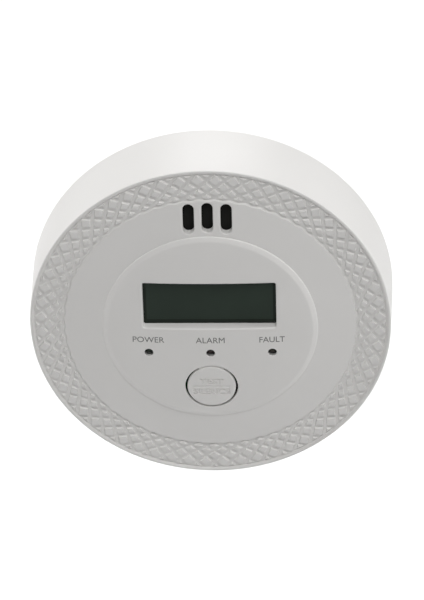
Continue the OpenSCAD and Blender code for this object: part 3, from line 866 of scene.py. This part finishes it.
def bar(width, thick, x, y, surface, raise_mm, sink_mm):
    """A bar that follows the surface: thick at its top, a third of that at its bottom."""
    verts = []
    for i in range(LINE_STEPS + 1):
        px = x - width / 2 + width * i / LINE_STEPS
        for side in (-thick / 2, thick / 2):
            verts.append(to_frame(px, y + side / 3, surface(px, y) - sink_mm))
            verts.append(to_frame(px, y + side, surface(px, y) + raise_mm))
    mesh = bpy.data.meshes.new("bar")
    mesh.from_pydata(verts, [], bar_faces(LINE_STEPS))
    return mesh


def engraved(whole, cutters):
    """A mesh with the shapes of the cutters sunk into it."""
    pieces = []
    for name, meshes in (("whole", [whole]), ("cutters", cutters)):
        bm = bmesh.new()
        for mesh in meshes:
            bm.from_mesh(mesh)
            bpy.data.meshes.remove(mesh)
        bmesh.ops.recalc_face_normals(bm, faces=bm.faces)
        mesh = bpy.data.meshes.new(name)
        bm.to_mesh(mesh)
        bm.free()
        pieces.append(add_object(name, mesh))
    uncut, tool = pieces
    cut = uncut.modifiers.new("cut", "BOOLEAN")
    cut.operation = "DIFFERENCE"
    cut.solver = "EXACT"
    cut.use_self = True
    cut.object = tool
    bpy.context.view_layer.update()
    shaped = uncut.evaluated_get(bpy.context.evaluated_depsgraph_get())
    result = bpy.data.meshes.new_from_object(shaped)
    for piece in pieces:
        mesh = piece.data
        bpy.data.objects.remove(piece)
        bpy.data.meshes.remove(mesh)
    return result


test_y = -BUTTON_DOWN + TEST_UP
line_y = -BUTTON_DOWN + LINE_UP
silence_y = -BUTTON_DOWN - SILENCE_DOWN
cutters = [
    lettering("TEST", TEST_W, WORD_H, 0, test_y, plain_dome, CUTTER_ABOVE, ENGRAVING, TAPER),
    bar(LINE_W, LINE_T, 0, line_y, plain_dome, LINE_ABOVE, ENGRAVING),
    lettering("SILENCE", SILENCE_W, WORD_H, 0, silence_y, plain_dome, CUTTER_ABOVE, ENGRAVING, TAPER),
]
flap_parts = [engraved(flap_mesh, cutters), web_part(), stem_mesh]
button_flap = joined("button_flap", flap_parts, white_moulding, 40)
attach(button_flap, "button")
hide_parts("test_button")

# ---------------------------------------------------------------------------
# Printed labels: grey words over the three lights, pad-printed in one thin
# coat of ink on the finished cover.
# ---------------------------------------------------------------------------
LABEL_UP = 4.55
LABEL_H = 1.9
INK_T = 0.012
INK_ROOT = 0.05
label_ink = grained("label_ink", (0.16, 0.16, 0.155), 0.55, 0.12, 0.002)
label_meshes = [
    lettering(words, width, LABEL_H, x, -LED_DOWN + LABEL_UP, plain_dome, INK_T, INK_ROOT)
    for words, width, x in (("POWER", 9.1, -LED_PITCH), ("ALARM", 8.3, 0.0), ("FAULT", 7.3, LED_PITCH))
]
labels = joined("printed_labels", label_meshes, label_ink)
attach(labels, "alarm")

# ---------------------------------------------------------------------------
# Display: a liquid crystal cell of two glass plates, seated in a black holder
# over its milky backlight, with plated pins down to the board. A dark
# polariser film, a shade lighter than the glass, is laminated on its front; it
# stops short of the window's edges, so the strip of darker glass round it is
# painted shade, widest at the bottom.
# ---------------------------------------------------------------------------
# The film is smaller than the window and set high in it, so the darker glass left round it is painted
# shade along the edges, widest at the bottom.
FILM_T = 0.03
FILM_CORNER = 0.3
FILM_UP = 0.5
FILM_W = WINDOW_W - 1.8
FILM_H = WINDOW_H - 1.6
GLASS_SPECULAR = 0.2
# The glass is coloured darker than the film; where it shows round the film it is painted shade along the
# window's edges.
display_glass = grained("display_glass", (0.012, 0.019, 0.013), 0.12, 3.0, 0.0002, 0.15, 0.03)
black_moulding = grained("black_moulding", (0.02, 0.02, 0.019), 0.5, 0.2, 0.008, 0.1)
clear_moulding = grained("clear_moulding", (0.8, 0.81, 0.77), 0.25, 1.5, 0.002)
plated_steel = grained("plated_steel", (0.66, 0.65, 0.62), 0.28, 0.5, 0.003, 0.04, 0.08, 1.0)
film_finish_inside_rim_shade = grained("film_inside_painted_rim_shade", (0.025, 0.039, 0.029), 0.12, 3.0, 0.0002, 0.15, 0.03)
for finish in (display_glass, film_finish_inside_rim_shade):
    shader = finish.node_tree.nodes["Principled BSDF"]
    shader.inputs["Specular IOR Level"].default_value = GLASS_SPECULAR
dress("lcd_glass", display_glass)
dress("lcd_holder", black_moulding)
dress("lcd_backlight", clear_moulding)
dress("lcd_pins", plated_steel)

film_loop = capsule_loop(FILM_W, FILM_H, FILM_CORNER, 3, 2.0)
film_outline = [(px, py + window_up + FILM_UP) for px, py in film_loop(0)]
film_mesh = moulded_plate(
    "film", [film_outline], [], lambda x, y: True, lambda x, y: glass_z + FILM_T, lambda x, y: glass_z
)
film_inside_painted_rim_shade = joined("film_inside_painted_rim_shade", [film_mesh], film_finish_inside_rim_shade)
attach(film_inside_painted_rim_shade, "alarm")

# ---------------------------------------------------------------------------
# Indicator lights: 3 mm lamps of tinted epoxy, green, red and yellow, all off.
# They stand on black spacers on the board, just behind their holes.
# ---------------------------------------------------------------------------
for node, colour in (
    ("led_power", (0.024, 0.036, 0.025)),
    ("led_alarm", (0.04, 0.026, 0.024)),
    ("led_fault", (0.038, 0.034, 0.024)),
):
    dress(node, grained(node + "_lens", colour, 0.2, 0.8, 0.001, 0.1))
dress("led_spacers", black_moulding)

# ---------------------------------------------------------------------------
# Sounder and board: a brass piezo disc in a black case, behind black felt that
# keeps dust out of the slots. The sensor can, the switch, the chips and the
# coil are soldered to a green board, screwed to posts on the rear cover.
# ---------------------------------------------------------------------------
black_felt = grained("black_felt", (0.012, 0.0115, 0.010), 0.95, 0.12, 0.06, 0.3, 0.04)
dress("dust_felt", black_felt)
dress("sounder_case", black_moulding)
dress("sounder_disc", grained("brass_disc", (0.6, 0.42, 0.17), 0.3, 0.4, 0.002, 0.05, 0.08, 1.0))
dress("main_board", grained("board_laminate", (0.015, 0.09, 0.035), 0.3, 0.6, 0.004, 0.12))
dress("switch_body", black_moulding)
dress("switch_plunger", grained("brown_moulding", (0.10, 0.05, 0.03), 0.45, 0.2, 0.005))
dress("co_sensor", plated_steel)
dress("sensor_membrane", white_moulding)
dress("microcontroller", black_moulding)
dress("capacitor", grained("aluminium_can", (0.7, 0.7, 0.71), 0.3, 0.3, 0.002, 0.03, 0.06, 1.0))
dress("booster_coil", black_moulding)
dress("chip_parts", black_moulding)
dress("board_screws", plated_steel)

# ---------------------------------------------------------------------------
# Rear cover and power: a white moulding that four screws hold to the front
# cover. Its bay takes three AA cells between plated springs and plates, and
# the door slides up over them from below.
# ---------------------------------------------------------------------------
dress("rear_cover", white_moulding)
dress("battery_door", white_moulding)
cell_jacket = grained("cell_jacket", (0.05, 0.06, 0.07), 0.3, 0.8, 0.002, 0.1)
for node in ("battery_1", "battery_2", "battery_3"):
    dress(node, cell_jacket)
dress("battery_springs", plated_steel)
dress("contact_plates", plated_steel)
dress("case_screws", plated_steel)

# ---------------------------------------------------------------------------
# Wall plate: a thin white moulding with four bayonet hooks and two screw
# slots, fixed to the wall behind the alarm.
# ---------------------------------------------------------------------------
dress("mounting_plate", white_moulding)
